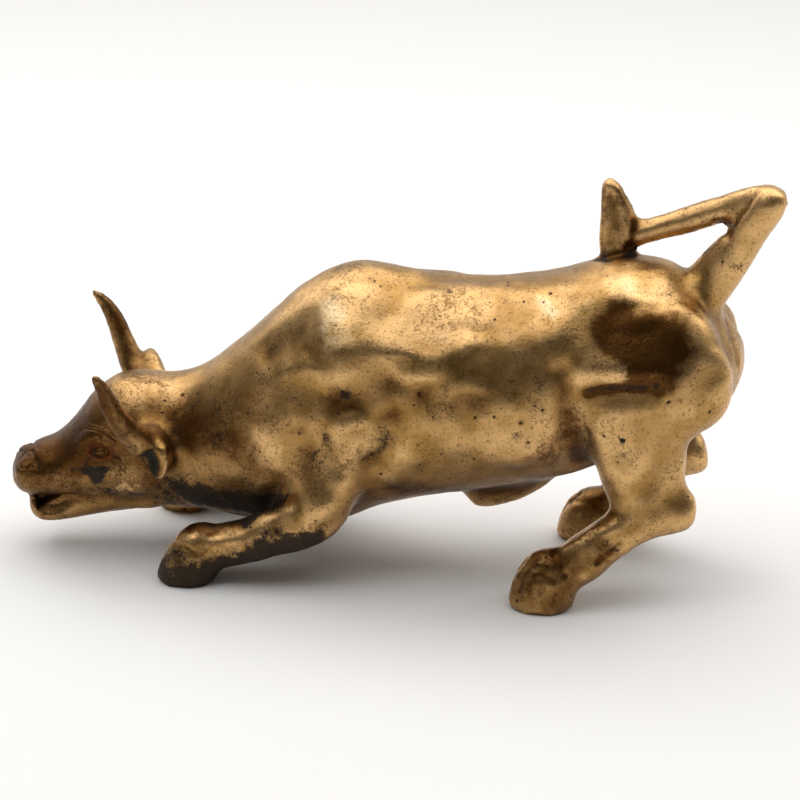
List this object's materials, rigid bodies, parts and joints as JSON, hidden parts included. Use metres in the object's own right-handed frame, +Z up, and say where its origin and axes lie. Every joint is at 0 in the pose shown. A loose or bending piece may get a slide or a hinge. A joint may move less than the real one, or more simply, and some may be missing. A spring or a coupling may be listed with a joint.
{
  "type": "bull figurine",
  "caption": "Hollow-cast brass bull, lowered to charge with its head down and turned, its tail bent forward and its tuft fixed to its back.",
  "frame": {"origin": "under the middle of the bull's bounding box, on the level its soles stand on", "axes": "+X from the nose towards the tail, so the bull faces -X; -Y is the bull's left side; +Z up"},
  "size_m": [0.323, 0.1018, 0.1759],
  "materials": {
    "cast_brass": "aged cast brass, polished bright on the rump and back, brown to near black on the head, neck and lower foreleg, pitted and specked"
  },
  "bodies": {
    "root": {"bull": "cast_brass"}
  },
  "joints": []
}
